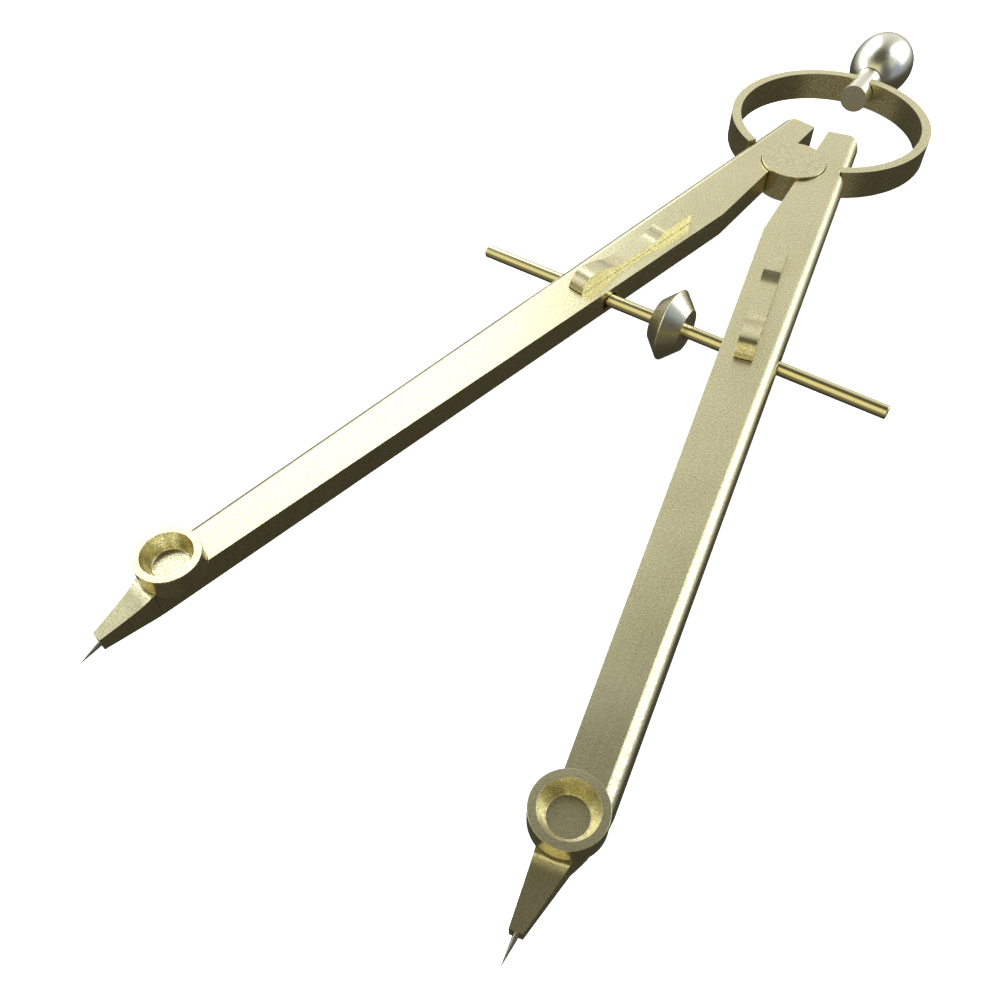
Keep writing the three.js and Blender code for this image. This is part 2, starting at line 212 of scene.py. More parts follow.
def softened(piece, width):
    # flat faces are merged first, then every sharp edge gets a narrow round
    bm = bmesh.new()
    bm.from_mesh(piece.data)
    bmesh.ops.remove_doubles(bm, verts=bm.verts, dist=0.002)
    bmesh.ops.dissolve_limit(bm, angle_limit=math.radians(0.5), verts=bm.verts, edges=bm.edges)
    bm.to_mesh(piece.data)
    bm.free()
    bevel = piece.modifiers.new("bevel", "BEVEL")
    bevel.limit_method = "ANGLE"
    bevel.angle_limit = math.radians(35)
    bevel.width = width
    bevel.segments = 2
    bevel.miter_outer = "MITER_ARC"
    return baked(piece)


def smoothed(piece, sharpAngle=50):
    bm = bmesh.new()
    bm.from_mesh(piece.data)
    for face in bm.faces:
        face.smooth = True
    for edge in bm.edges:
        edge.smooth = len(edge.link_faces) == 2 and edge.calc_face_angle(0) < math.radians(sharpAngle)
    bm.to_mesh(piece.data)
    bm.free()
    weighted = piece.modifiers.new("normals", "WEIGHTED_NORMAL")
    weighted.keep_sharp = True
    return baked(piece)


def placed(piece, place, material, body, slotName, *nodes):
    piece.data.transform(Matrix.Scale(mm, 4) @ place)
    piece.data.materials.clear()
    piece.data.materials.append(material)
    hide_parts(*nodes)
    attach(piece, body)
    return piece


atOrigin = Matrix.Identity(4)
atFace = Matrix.Translation((0, 0, faceHeight))


def legPlace(side):
    return atFace @ Matrix.Rotation(side * halfOpening, 4, "Z")


def sideName(side):
    return "right" if side > 0 else "left"


class Signal:
    # a socket that can be used in arithmetic; each operation adds a Math node
    def __init__(self, maker, socket):
        self.maker = maker
        self.socket = socket

    def math(self, operation, *others):
        return self.maker.node("ShaderNodeMath", {"operation": operation}, [self, *others])

    def __add__(self, other):
        return self.math("ADD", other)

    __radd__ = __add__

    def __sub__(self, other):
        return self.math("SUBTRACT", other)

    def __rsub__(self, other):
        return self.maker.node("ShaderNodeMath", {"operation": "SUBTRACT"}, [other, self])

    def __mul__(self, other):
        return self.math("MULTIPLY", other)

    __rmul__ = __mul__

    def __truediv__(self, other):
        return self.math("DIVIDE", other)


class Maker:
    # builds one node tree
    def __init__(self, tree):
        self.tree = tree
        tree.nodes.clear()

    def node(self, kind, settings=None, inputs=None, output=0):
        made = self.tree.nodes.new(kind)
        for name, value in (settings or {}).items():
            if name == "stops":
                ramp = made.color_ramp
                while len(ramp.elements) < len(value):
                    ramp.elements.new(0.5)
                for element, (position, colour) in zip(ramp.elements, value):
                    element.position = position
                    element.color = (*colour, 1)
            else:
                setattr(made, name, value)
        pairs = inputs.items() if isinstance(inputs, dict) else enumerate(inputs or [])
        for key, value in pairs:
            if isinstance(value, Signal):
                self.tree.links.new(value.socket, made.inputs[key])
            else:
                made.inputs[key].default_value = value
        return Signal(self, made.outputs[output]) if made.outputs else None

    def noise(self, place, scale, detail=2.0, roughness=0.5):
        inputs = {"Vector": place, "Scale": scale, "Detail": detail, "Roughness": roughness}
        return self.node("ShaderNodeTexNoise", None, inputs)

    def stretched(self, place, scale):
        return self.node("ShaderNodeMapping", None, {"Vector": place, "Scale": scale})

    def mixed(self, share, first, second):
        settings = {"data_type": "RGBA"}
        return self.node("ShaderNodeMix", settings, {0: share, 6: first, 7: second}, 2)


finishes = {
    "satin": {
        "colour": (0.93, 0.86, 0.54), "deep": (0.47, 0.41, 0.21), "roughness": 0.29, "spread": 0.10,
        "grain": 4300.0, "grainDepth": 0.22, "scratches": 0.01,
    },
    "turned": {
        "colour": (0.80, 0.76, 0.56), "deep": (0.72, 0.67, 0.47), "roughness": 0.26, "spread": 0.05,
        "grain": 4300.0, "grainDepth": 0.06, "scratches": 0.01,
    },
    "polished": {
        "colour": (0.82, 0.79, 0.64), "deep": (0.74, 0.69, 0.52), "roughness": 0.27, "spread": 0.05,
        "grain": 8200.0, "grainDepth": 0.04, "scratches": 0.01,
    },
    "brass": {
        "colour": (0.88, 0.80, 0.48), "deep": (0.78, 0.69, 0.36), "roughness": 0.22, "spread": 0.06,
        "grain": 8200.0, "grainDepth": 0.05, "scratches": 0.01,
    },
    "steel": {
        "colour": (0.40, 0.36, 0.28), "deep": (0.30, 0.27, 0.21), "roughness": 0.36, "spread": 0.06,
        "grain": 9000.0, "grainDepth": 0.02, "scratches": 0.01,
    },
}


def metal(name, finish):
    # cast and worked alloy: cloudy tone, a speckle of fine grain in tone and height, faint scratches
    material = bpy.data.materials.new(name)
    material.use_nodes = True
    make = Maker(material.node_tree)
    place = make.node("ShaderNodeTexCoord", None, None, 3)
    clouds = make.noise(place, 90.0, 3.0, 0.55)
    grain = make.noise(place, finish["grain"], 2.0, 0.65)
    speckle = make.node("ShaderNodeMapRange", {"clamp": True}, {0: grain, 1: 0.34, 2: 0.66})
    scratches = make.noise(make.stretched(place, (900.0, 120.0, 900.0)), 9.0, 2.0, 0.6)
    tone = (clouds * 0.2 + speckle * 0.8).math("MINIMUM", 1.0)
    colour = make.mixed(tone, (*finish["deep"], 1), (*finish["colour"], 1))
    rough = finish["roughness"] + (clouds - 0.5) * finish["spread"] + (0.5 - speckle) * finish["spread"]
    height = grain * finish["grainDepth"] + scratches * finish["scratches"]
    bump = make.node("ShaderNodeBump", None, {"Strength": 1.0, "Distance": 0.00003, "Height": height})
    shader = make.node("ShaderNodeBsdfPrincipled", None, {
        "Base Color": colour, "Metallic": 1.0, "Roughness": rough, "Normal": bump,
    })
    make.node("ShaderNodeOutputMaterial", None, {"Surface": shader})
    return material


satin = metal("satinAlloy", finishes["satin"])
turnedAlloy = metal("turnedAlloy", finishes["turned"])
polished = metal("polishedAlloy", finishes["polished"])
brass = metal("brightBrass", finishes["brass"])
steel = metal("tooledSteel", finishes["steel"])
print("materials made")


# The legs are cut to suit the spring band, the cups and the feet, so those sizes come first.
band = {
    "middleRadius": 15.08, "thickness": 1.45, "centre": 14.95, "leftGap": 31.5, "rightGap": 27.4,
    "waist": 1.45, "edge": 0.1, "seam": 0.06,
}
cup = {
    "radius": 3.68, "top": 2.47, "bottom": -0.27, "bowl": 2.84, "floor": 2.05, "depth": 1.95,
    "corner": 0.12, "lip": 0.05, "shank": 0.6, "shankEnd": -3.39, "recess": -0.35,
}
leg = {
    "innerEdge": -0.74, "hornAlong": -10.8, "hornAcross": 3.55, "hornCorner": 2.3, "kinkAlong": 18.6,
    "outerAtPivot": 8.49, "outerTaper": 0.0335, "taperStart": 107.8, "bulge": (110.6, 4.6), "endRadius": 3.82,
    "roundingEnd": 112, "edgeWidth": 0.1,
}
foot = {
    "pastScrew": 2.6, "end": 120.6, "inner": -0.6, "outer": 0.7, "shoulder": 3.85, "top": -1.1,
    "bottom": -3.0, "edgeWidth": 0.04, "boreRadius": 0.29,
}
footSlope = (3.2 - foot["outer"]) / (foot["end"] - 112.24)
tenon = {"start": 108, "inner": 0.05, "outer": 2.45, "low": -2.25, "high": -1.3, "spare": 0.1}
notch = {
    "spare": 0.04, "endSpare": 0.15, "reach": 20,
    "flare": [(-0.3, 7.12), (0.9, 7.12), (2.6, 9.2), (-0.3, 9.2)],
}
nut = {"along": 43.67, "across": 2.46, "radius": 2.1, "top": -0.95, "steep": 18.3, "shallow": 5.5}
lever = {
    "across": 2.46, "width": 2.38, "tip": 23.7, "end": 46.7, "pad": 1.43, "dip": 0.7, "hump": 2.07,
    "under": -0.2, "boss": 1.05, "pinAlong": 34.4, "pinHeight": -0.85, "pinRadius": 0.5, "pinInner": 0.6,
    "pinOuter": 4.4,
    "gap": 0.03, "endGap": 0.12, "toothLength": 1.8, "toothTip": 0.5, "toothWidth": 0.9,
}
pocket = {"floor": -1.2, "bossFloor": -2.15, "bossReach": 1.5, "seatFloor": -2.5, "seatRadius": 1.05}
spring = {
    "along": 26.3, "coil": 0.6, "wire": 0.14, "turns": 4.0, "low": -2.31, "high": -0.44, "pressed": 0.62,
}
spare = {"roller": 0.12, "nut": 0.12, "shank": 0.1, "pin": 0.05, "cup": 0.05, "spindle": 0.1}
beyond = 9  # how far the cutting shapes reach past a leg's faces


def outerEdge(along):
    return leg["outerAtPivot"] - leg["outerTaper"] * along


def footEdge(along):
    return foot["outer"] + footSlope * (foot["end"] - along)


def legOutline(side):
    # horn with its rounded corner, outer edge, curve into the round end, then back along the inner edge
    def edge(along):
        return outerEdge(along) + 0.02

    def endPoint(angle):
        radius = leg["endRadius"]
        return screw["along"] + radius * math.cos(angle), screw["across"] + radius * math.sin(angle)

    top, corner = leg["hornAlong"], leg["hornCorner"]
    places = [(top, leg["hornAcross"])]
    shoulder = edge(top + corner)
    for k in range(13):
        angle = math.pi / 2 * k / 12
        places.append((top + corner * (1 - math.cos(angle)), shoulder - corner * (1 - math.sin(angle))))

    roundStart = math.pi / 2
    while endPoint(roundStart)[1] > footEdge(endPoint(roundStart)[0]):
        roundStart -= 0.01
    curve = ((leg["taperStart"], edge(leg["taperStart"])), leg["bulge"], endPoint(roundStart))
    for k in range(16):
        share = k / 16
        weights = ((1 - share) ** 2, 2 * share * (1 - share), share ** 2)
        places.append(tuple(sum(w * p[i] for w, p in zip(weights, curve)) for i in (0, 1)))

    roundEnd = math.asin((leg["innerEdge"] - screw["across"]) / leg["endRadius"])
    places += [endPoint(roundStart + (roundEnd - roundStart) * k / 24) for k in range(25)]
    places.append((leg["kinkAlong"], leg["innerEdge"]))
    return [at(side, *place) for place in places]


def edgeRounding(side):
    # a bar along the outer edge and everything inside its axis
    radius = legThickness / 2 + 0.02
    start, far, wide, end = -30, 130, 20, leg["roundingEnd"]

    def axis(along):
        return outerEdge(along) - radius

    inside = extruded("inside", [
        at(side, start, -wide), at(side, far, -wide), at(side, far, wide), at(side, end, wide),
        at(side, end, axis(end)), at(side, start, axis(start)),
    ], -beyond, beyond)
    middle = -legThickness / 2
    bar = rod("edgeBar", radius, at(side, start, axis(start), middle), at(side, far, axis(far), middle), 160)
    return combine(inside, "UNION", bar)


def notchTool(side):
    # the seat of the band's end, shaped like the band with a little spare; the right one is flared
    gap = band["leftGap"] if side < 0 else band["rightGap"]
    half = band["thickness"] / 2 + notch["spare"]
    turns = [math.radians(gap - notch["endSpare"] + k) for k in range(notch["reach"] + 1)]
    outline = []
    for radius, angles in ((band["middleRadius"] - half, turns), (band["middleRadius"] + half, turns[::-1])):
        outline += [(side * radius * math.sin(a), band["centre"] - radius * math.cos(a)) for a in angles]
    seat = extruded("seat", outline, -beyond, beyond)
    seat.data.transform(Matrix.Rotation(-side * halfOpening, 4, "Z"))
    if side < 0:
        return seat
    flare = extruded("flare", [at(side, *corner) for corner in notch["flare"]], -beyond, beyond)
    return combine(seat, "UNION", flare)


def spindleWay(side):
    # a slot that fans out on both sides of the nut, for the rod at the legs' widest and narrowest
    half = spindleRadius + spare["spindle"]
    innerSide, outerSide = -3, 11

    def row(across):
        offsets = [
            nut["along"] + (across - nut["across"]) * math.tan(math.radians(nut[slope]))
            for slope in ("steep", "shallow")
        ]
        return min(offsets) - half, max(offsets) + half

    inner, middle, outer = row(innerSide), row(nut["across"]), row(outerSide)
    fan = [
        at(side, inner[0], innerSide), at(side, middle[0], nut["across"]), at(side, outer[0], outerSide),
        at(side, outer[1], outerSide), at(side, middle[1], nut["across"]), at(side, inner[1], innerSide),
    ]
    reach = half - 0.03
    return extruded("way", fan, spindleHeight - reach, spindleHeight + reach)


def leverPocket(side):
    half = lever["width"] / 2 + lever["gap"]
    low, high = sorted((side * (lever["across"] - half), side * (lever["across"] + half)))
    along, height, end = lever["pinAlong"], lever["pinHeight"], lever["endGap"]
    trough = slab("trough", (low, -lever["end"] - end, pocket["floor"]), (high, -lever["tip"] + end, 5))
    reach = pocket["bossReach"]
    deep = slab("deep", (low, -along - reach, pocket["bossFloor"]), (high, -along + reach, 0))
    seatPlace = at(side, spring["along"], lever["across"])
    seat = rod("seat", pocket["seatRadius"], seatPlace + Vector((0, 0, pocket["seatFloor"])), seatPlace, 48)
    pin = rod("pinHole", lever["pinRadius"] + spare["pin"], at(side, along, lever["pinInner"] - 0.1, height),
              at(side, along, lever["pinOuter"] + 0.1, height), 48)
    return trough, deep, seat, pin


def tenonBlock(side, extra, end):
    low, high = sorted((side * (tenon["inner"] - extra), side * (tenon["outer"] + extra)))
    bottom, top = tenon["low"] - extra, tenon["high"] + extra
    return slab("tenon", (low, -end, bottom), (high, extra - tenon["start"], top))


def makeLeg(side):
    name = sideName(side)
    centre = at(side, screw["along"], screw["across"])
    nutPlace = at(side, nut["along"], nut["across"])
    down, up = Vector((0, 0, -beyond)), Vector((0, 0, beyond))
    nutTop = Vector((0, 0, nut["top"] + 0.25))
    piece = extruded(f"{name}Leg", legOutline(side), -legThickness, 0)
    combine(piece, "INTERSECT", edgeRounding(side))
    cut(
        piece,
        rod("socket", rollerRadius + spare["roller"], down, up, 128),
        notchTool(side),
        rod("nutHole", nut["radius"] + spare["nut"], nutPlace + down, nutPlace + nutTop, 72),
        spindleWay(side),
        *leverPocket(side),
        tenonBlock(side, tenon["spare"], 130),
        rod("recess", cup["radius"] + spare["cup"], centre + Vector((0, 0, cup["recess"])), centre + up, 128),
        rod("screwHole", cup["shank"] + spare["shank"], centre + down, centre + up, 48),
    )
    softened(piece, leg["edgeWidth"])
    smoothed(piece)
    placed(piece, legPlace(side), satin, f"{name}_leg", "satin_alloy", f"{name}_leg")


for side in (-1, 1):
    makeLeg(side)
print("legs made")


def leverOutline():
    # seen from the side: pad, ramp down to the arm, rise to the hump, rounded end
    pad, dip, hump, end = lever["pad"], lever["dip"], lever["hump"], lever["end"]
    spine = [
        (lever["tip"], pad), (26.5, pad), (29.2, pad), (29.9, pad - 0.12), (30.7, pad - 0.42),
        (31.6, dip + 0.06), (33.0, dip), (35.5, dip), (38.0, dip + 0.03), (39.8, dip + 0.28),
        (41.5, dip + 0.86), (42.8, hump - 0.16), (43.8, hump - 0.01), (44.7, hump),
        (45.4, 1.88), (46.0, 1.40), (46.45, 0.75), (end, 0.0),
    ]
    points = [(-along, height) for along, height in curveThrough(spine, 6)]
    return points + [(-end, lever["under"]), (-lever["tip"], lever["under"])]


def curveThrough(points, steps):
    # Catmull-Rom through the points
    path = [points[0], *points, points[-1]]
    result = []
    for a, b, c, d in zip(path, path[1:], path[2:], path[3:]):
        for k in range(steps):
            t = k / steps
            result.append(tuple(
                0.5 * (2 * q + (r - p) * t + (2 * p - 5 * q + 4 * r - s) * t * t
                       + (3 * q - p - 3 * r + s) * t ** 3)
                for p, q, r, s in zip(a, b, c, d)
            ))
    return result + [points[-1]]


def acrossLeg(name, outline, low, high):
    # an outline drawn in (Y, Z), carried across the leg from low to high
    piece = extruded(name, outline, low, high)
    piece.data.transform(Matrix(((0, 0, 1, 0), (1, 0, 0, 0), (0, 1, 0, 0), (0, 0, 0, 1))))
    return piece


def makeLever(side):
    name = sideName(side)
    low = side * lever["across"] - lever["width"] / 2
    high = low + lever["width"]
    along, height = lever["pinAlong"], lever["pinHeight"]
    arm = acrossLeg(f"{name}Lever", leverOutline(), low, high)
    boss = rod("boss", lever["boss"], (low, -along, height), (high, -along, height), 48)
    tip = spindleHeight + spindleRadius + spare["spindle"]
    root, point, half = lever["toothLength"] / 2, lever["toothTip"] / 2, lever["toothWidth"] / 2
    corners = ((-root, 0), (-point, tip), (point, tip), (root, 0))
    toothOutline = [(shift - nut["along"], rise) for shift, rise in corners]
    middle = side * nut["across"]
    combine(arm, "UNION", boss, acrossLeg("tooth", toothOutline, middle - half, middle + half))
    boreRadius = lever["pinRadius"] + spare["pin"]
    cut(arm, rod("bore", boreRadius, (low - 1, -along, height), (high + 1, -along, height), 48))
    smoothed(arm, 30)
    placed(arm, legPlace(side), satin, f"{name}_lever", "satin_alloy", f"{name}_lever")
    pin = rod(f"{name}LeverPin", lever["pinRadius"], at(side, along, lever["pinInner"], height),
              at(side, along, lever["pinOuter"], height), 48)
    softened(pin, 0.08)
    smoothed(pin)
    placed(pin, legPlace(side), steel, f"{name}_leg", "tool_steel", f"{name}_lever_pin")


for side in (-1, 1):
    makeLever(side)
print("levers made")


class TreeMaker(Maker):
    def __init__(self, name, inputs):
        tree = bpy.data.node_groups.new(name, "GeometryNodeTree")
        super().__init__(tree)
        tree.interface.new_socket("Geometry", in_out="OUTPUT", socket_type="NodeSocketGeometry")
        for label, value in inputs.items():
            kind = "NodeSocketMaterial" if label == "Material" else "NodeSocketFloat"
            socket = tree.interface.new_socket(label, in_out="INPUT", socket_type=kind)
            if value is not None:
                socket.default_value = value
        entry = tree.nodes.new("NodeGroupInput")
        self.given = {label: Signal(self, entry.outputs[label]) for label in inputs}

    def finish(self, geometry):
        real = self.node("GeometryNodeRealizeInstances", None, [geometry])
        inputs = {"Geometry": real, "Material": self.given["Material"]}
        painted = self.node("GeometryNodeSetMaterial", None, inputs)
        self.node("NodeGroupOutput", None, [painted])
        return self.tree


def grown(name, tree, values):
    # runs a tree on an empty mesh and keeps the result as plain mesh
    piece = bpy.data.objects.new(name, bpy.data.meshes.new(name))
    bpy.context.scene.collection.objects.link(piece)
    modifier = piece.modifiers.new("grow", "NODES")
    modifier.node_group = tree
    for item in tree.interface.items_tree:
        if item.in_out == "INPUT" and item.name in values:
            modifier[item.identifier] = values[item.name]
    return baked(piece)


def springTree():
    make = TreeMaker("coilSpring", {"Coil": 0.6, "Wire": 0.14, "Turns": 4.0, "Rise": 2.0, "Material": None})
    given = make.given
    coil = make.node("GeometryNodeCurveSpiral", None, {
        "Resolution": 28, "Rotations": given["Turns"], "Height": given["Rise"],
        "Start Radius": given["Coil"], "End Radius": given["Coil"],
    })
    wire = make.node("GeometryNodeCurvePrimitiveCircle", None, {"Resolution": 12, "Radius": given["Wire"]})
    inputs = {"Curve": coil, "Profile Curve": wire, "Fill Caps": True}
    tube = make.node("GeometryNodeCurveToMesh", None, inputs)
    return make.finish(tube)


def makeSprings():
    tree = springTree()
    for side in (-1, 1):
        name = sideName(side)
        piece = grown(f"{name}LeverSpring", tree, {
            "Coil": spring["coil"], "Wire": spring["wire"], "Turns": spring["turns"],
            "Rise": spring["high"] - spring["low"], "Material": steel,
        })
        smoothed(piece)
        base = at(side, spring["along"], lever["across"], spring["low"])
        place = legPlace(side) @ Matrix.Translation(base)
        placed(piece, place, steel, f"{name}_leg", "tool_steel", f"{name}_lever_spring")
        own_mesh(piece)


makeSprings()
print("springs made")


def bandTree():
    labels = {"Radius": 15.0, "Thickness": 1.4, "Height": 4.0, "Start": 0.0, "Sweep": 5.0, "Material": None}
    make = TreeMaker("springBand", labels)
    given = make.given
    path = make.node("GeometryNodeCurveArc", {"mode": "RADIUS"}, {
        "Resolution": 160, "Radius": given["Radius"],
        "Start Angle": given["Start"], "Sweep Angle": given["Sweep"],
    })
    section = make.node("GeometryNodeCurvePrimitiveQuadrilateral", None, {
        "Width": given["Thickness"], "Height": given["Height"],
    })
    inputs = {"Curve": path, "Profile Curve": section, "Fill Caps": True}
    strip = make.node("GeometryNodeCurveToMesh", None, inputs)
    return make.finish(strip)


def makeBand():
    # two halves that meet under the stem; each one's free end rests on its leg
    tree = bandTree()
    low, high = (corner.z for corner in boxOf("spring_band"))
    height, far = headMiddle.z, 36
    for side, gap in ((-1, band["leftGap"]), (1, band["rightGap"])):
        name = sideName(side)
        start = gap - 90 if side > 0 else 90 + band["seam"]
        piece = grown(f"{name}BandHalf", tree, {
            "Radius": band["middleRadius"], "Thickness": band["thickness"], "Height": high - low,
            "Start": math.radians(start), "Sweep": math.radians(180 - gap - band["seam"]), "Material": satin,
        })
        piece.data.transform(Matrix.Translation((0, band["centre"], (high + low) / 2)))
        around = rod("around", headRadius + 0.03, (0, 26, height), (0, far, height), 96)
        waist = slab("waist", (-9, 20, height - band["waist"]), (9, 40, height + band["waist"]))
        hole = rod("crownHole", handle["shank"] + 0.05, (0, 26, height), (0, far, height), 48)
        cut(piece, cut(around, waist), hole)
        softened(piece, band["edge"])
        smoothed(piece)
        piece.data.transform(Matrix.Scale(mm, 4))
        piece.data.materials.clear()
        piece.data.materials.append(satin)
        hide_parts("spring_band")
        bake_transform(piece)


headLow, headHigh = boxOf("clamp_head")
headMiddle = (headLow + headHigh) / 2
headRadius = (headHigh.x - headLow.x) / 2
handle = {
    "headSlot": 28.95, "headEnd": 30.95, "stemEnd": 33.5, "shank": 0.7, "shankEnd": 32.7, "spigot": 1.2,
    "knobWaist": 40.7, "knobFront": 7.79, "edge": 0.05,
}


def makeHead():
    height, end, edge = headMiddle.z, handle["headEnd"], handle["edge"]
    corners = [(0, headLow.y, 0), (headRadius, headLow.y, edge), (headRadius, end, 0), (0, end, 0)]
    head = turned("clampHead", rounded(corners, 4), (0, 0, height), (0, 1, 0))
    reach = band["waist"] + 0.1
    cut(head, slab("headSlot", (-5, handle["headSlot"], height - reach), (5, 40, height + reach)))
    shank = rod("shank", handle["shank"], (0, 28, height), (0, handle["shankEnd"], height), 48)
    combine(head, "UNION", shank)
    smoothed(head, 35)
    placed(head, atOrigin, polished, "head", "satin_alloy", "clamp_head")


def makeStem():
    height, waist, spigot = headMiddle.z, handle["knobWaist"], handle["spigot"]
    low, high = handle["headEnd"] + 0.02, handle["stemEnd"]
    corners = [
        (0, low, 0), (headRadius, low, 0), (headRadius, high, handle["edge"]), (spigot, high, 0),
        (spigot, waist, 0), (0, waist, 0),
    ]
    stem = turned("stem", rounded(corners, 4), (0, 0, height), (0, 1, 0))
    bore = rod("stemBore", handle["shank"] + 0.1, (0, 30, height), (0, handle["shankEnd"] + 0.2, height), 48)
    cut(stem, bore)
    smoothed(stem, 35)
    placed(stem, atOrigin, polished, "head", "polished_alloy", "stem")


def makeKnob():
    # an egg: one half ellipse towards the stem, a shorter one away from it
    low, high = boxOf("knob")
    radius = (high.x - low.x) / 2
    height, waist = headMiddle.z, handle["knobWaist"]
    start = -math.acos((headRadius + 0.03) / radius)
    steps = 72
    profile = []
    for k in range(steps + 1):
        angle = start + (math.pi / 2 - start) * k / steps
        length = handle["knobFront"] if angle < 0 else high.y - waist
        profile.append((radius * max(math.cos(angle), 0), waist + length * math.sin(angle)))
    profile[-1] = (0, profile[-1][1])
    profile.insert(0, (0, profile[0][1]))
    knob = turned("knob", profile, (0, 0, height), (0, 1, 0), 128)
    cut(knob, rod("knobSocket", handle["spigot"] + 0.1, (0, 30, height), (0, waist + 1, height), 48))
    smoothed(knob, 35)
    placed(knob, atOrigin, polished, "head", "polished_alloy", "knob")


def makeRoller():
    edge = 0.05
    corners = [
        (0, rollerLow.z, 0), (rollerRadius, rollerLow.z, edge), (rollerRadius, rollerHigh.z, edge),
        (0, rollerHigh.z, 0),
    ]
    roller = turned("fulcrumRoller", rounded(corners, 4), steps=128)
    smoothed(roller)
    placed(roller, atOrigin, satin, "head", "satin_alloy", "fulcrum_roller")


makeHead()
makeStem()
makeKnob()
makeBand()
makeRoller()
print("head made")


def makeScrew(side):
    name = sideName(side)
    radius, shank, bottom, top = cup["radius"], cup["shank"], cup["bottom"], cup["top"]
    floor = top - cup["depth"]
    corners = [
        (0, cup["shankEnd"], 0), (shank, cup["shankEnd"], 0.08), (shank, bottom, 0), (radius, bottom, 0.03),
        (radius, top, cup["lip"]), (cup["bowl"], top, 0.04), (cup["floor"], floor, cup["corner"]),
        (0, floor, 0),
    ]
    centre = at(side, screw["along"], screw["across"])
    piece = turned(f"{name}ClampScrew", rounded(corners, 8), centre, steps=128)
    smoothed(piece, 40)
    placed(piece, legPlace(side), satin, f"{name}_clamp_screw", "polished_alloy", f"{name}_clamp_screw")


needle = {
    "start": 117, "tip": 123.5, "radius": 0.27, "point": 2.6, "across": -0.6, "slope": 0.133,
    "height": -2.05, "drop": 0.45, "rightShift": 0.4,
}


def needlePlace(side, along):
    share = (along - foot["end"]) / 2.4
    across = needle["across"] + needle["slope"] * (123 - along) + (needle["rightShift"] if side > 0 else 0)
    return at(side, along, across, needle["height"] - needle["drop"] * share)


def makeFoot(side):
    name = sideName(side)
    end, shoulder = foot["end"], foot["shoulder"]
    centre = at(side, screw["along"], screw["across"])
    down, up = Vector((0, 0, -beyond)), Vector((0, 0, beyond))
    start, seam = screw["along"] + foot["pastScrew"], screw["along"] + shoulder
    wedge = extruded(f"{name}NeedleHolder", [
        at(side, start, leg["innerEdge"]), at(side, start, footEdge(start)),
        at(side, end, foot["outer"]), at(side, end, foot["inner"]),
    ], -legThickness, 0)
    # seen from the side: a step down from the leg's face, then a long fall to the end
    top = curveThrough([
        (start, 0), (seam - 0.6, 0), (seam - 0.15, -0.04), (seam + 0.25, -0.22), (seam + 1.0, -0.46),
        (seam + 2.2, -0.68), (seam + 4.2, -0.95), (end, foot["top"] - 0.1),
    ], 6)
    faces = [(-along, height) for along, height in top]
    faces += [(-end, foot["bottom"]), (-seam, -legThickness), (-start, -legThickness)]
    combine(wedge, "INTERSECT", acrossLeg("faces", faces, -20, 20))
    cut(wedge, rod("clearOfLeg", shoulder, centre + down, centre + up, 128))
    combine(wedge, "UNION", tenonBlock(side, 0, seam + 0.5))
    needleHole = rod("needleHole", foot["boreRadius"], needlePlace(side, needle["start"] - 0.1),
                     needlePlace(side, 125), 32)
    cut(wedge, rod("screwHole", cup["shank"] + spare["shank"], centre + down, centre + up, 48), needleHole)
    softened(wedge, foot["edgeWidth"])
    smoothed(wedge)
    placed(wedge, legPlace(side), satin, f"{name}_leg", "satin_alloy", f"{name}_needle_holder")


def makeNeedle(side):
    name = sideName(side)
    start, tip = needlePlace(side, needle["start"]), needlePlace(side, needle["tip"])
    length, radius, point = (tip - start).length, needle["radius"], needle["point"]
    profile = [(0, 0), (radius, 0), (radius, length - point)]
    profile += [(radius * (1 - k / 8) ** 0.95, length - point * (1 - k / 8)) for k in range(1, 8)]
    profile.append((0, length))
    piece = turned(f"{name}Needle", profile, start, tip - start, 32)
    smoothed(piece, 60)
    placed(piece, legPlace(side), steel, f"{name}_leg", "tool_steel", f"{name}_needle")


for side in (-1, 1):
    makeScrew(side)
    makeFoot(side)
    makeNeedle(side)
print("leg ends made")


def makeSpindle():
    length, edge = spindleHigh.x - spindleLow.x, 0.16
    start = (spindleLow.x, spindleMiddle.y, spindleMiddle.z)
    corners = [(0, 0, 0), (spindleRadius, 0, edge), (spindleRadius, length, edge), (0, length, 0)]
    piece = turned("spindle", rounded(corners, 4), start, (1, 0, 0), 72)
    smoothed(piece)
    placed(piece, atOrigin, brass, "spindle", "brass_rod", "spindle")


wheel = {"end": 2.83, "edge": 0.1, "rim": 0.15}


def makeWheel():
    # two cones that meet at a sharp rim, with a bore for the spindle
    low, high = boxOf("centre_wheel")
    half = (high.x - low.x) / 2
    bore = spindleRadius + 0.06
    corners = [
        (bore, -half, 0), (wheel["end"], -half, wheel["edge"]), ((high.z - low.z) / 2 + 0.1, 0, wheel["rim"]),
        (wheel["end"], half, wheel["edge"]), (bore, half, 0),
    ]
    profile = [tuple(point) for point in rounded(corners, 6)]
    profile.append(profile[0])
    middle = ((low.x + high.x) / 2, spindleMiddle.y, spindleMiddle.z)
    piece = turned("centreWheel", profile, middle, (1, 0, 0), 128)
    smoothed(piece)
    placed(piece, atOrigin, turnedAlloy, "wheel", "polished_alloy", "centre_wheel")


def makeNut(side):
    name = sideName(side)
    low, high = boxOf(f"{name}_swivel_nut")
    middle, radius = (low + high) / 2, nut["radius"]
    corners = [(0, low.z, 0), (radius, low.z, 0.1), (radius, high.z, 0.05), (0, high.z, 0)]
    piece = turned(f"{name}SwivelNut", rounded(corners, 3), (middle.x, middle.y, 0), steps=72)
    bore = spindleRadius + spare["spindle"]
    start, end = ((middle.x + shift, middle.y, spindleMiddle.z) for shift in (-9, 9))
    cut(piece, rod("nutBore", bore, start, end, 64))
    smoothed(piece, 35)
    placed(piece, atOrigin, brass, f"{name}_swivel", "brass_rod", f"{name}_swivel_nut")


